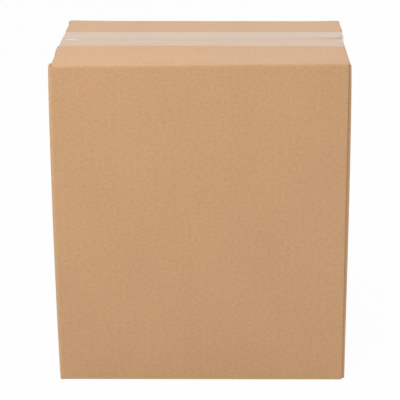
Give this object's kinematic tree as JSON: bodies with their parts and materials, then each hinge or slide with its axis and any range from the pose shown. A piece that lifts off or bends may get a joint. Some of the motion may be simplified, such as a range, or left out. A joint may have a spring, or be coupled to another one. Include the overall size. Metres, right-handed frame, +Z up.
{
  "type": "closed cardboard box",
  "caption": "Upright corrugated shipping carton, closed, with clear tape over its top and bottom seams.",
  "frame": {"origin": "centre of the underside, on the surface the box stands on", "axes": "+Z up; +X to the right along the wide front panel; the front panel faces -Y"},
  "size_m": [0.2352, 0.1596, 0.2707],
  "materials": {
    "kraft_board": "matte brown kraft liner with faint mottling",
    "clear_tape": "clear glossy packing tape, slightly cloudy"
  },
  "bodies": {
    "root": {"carton": "kraft_board", "top_tape": "clear_tape", "bottom_tape": "clear_tape"}
  },
  "joints": []
}
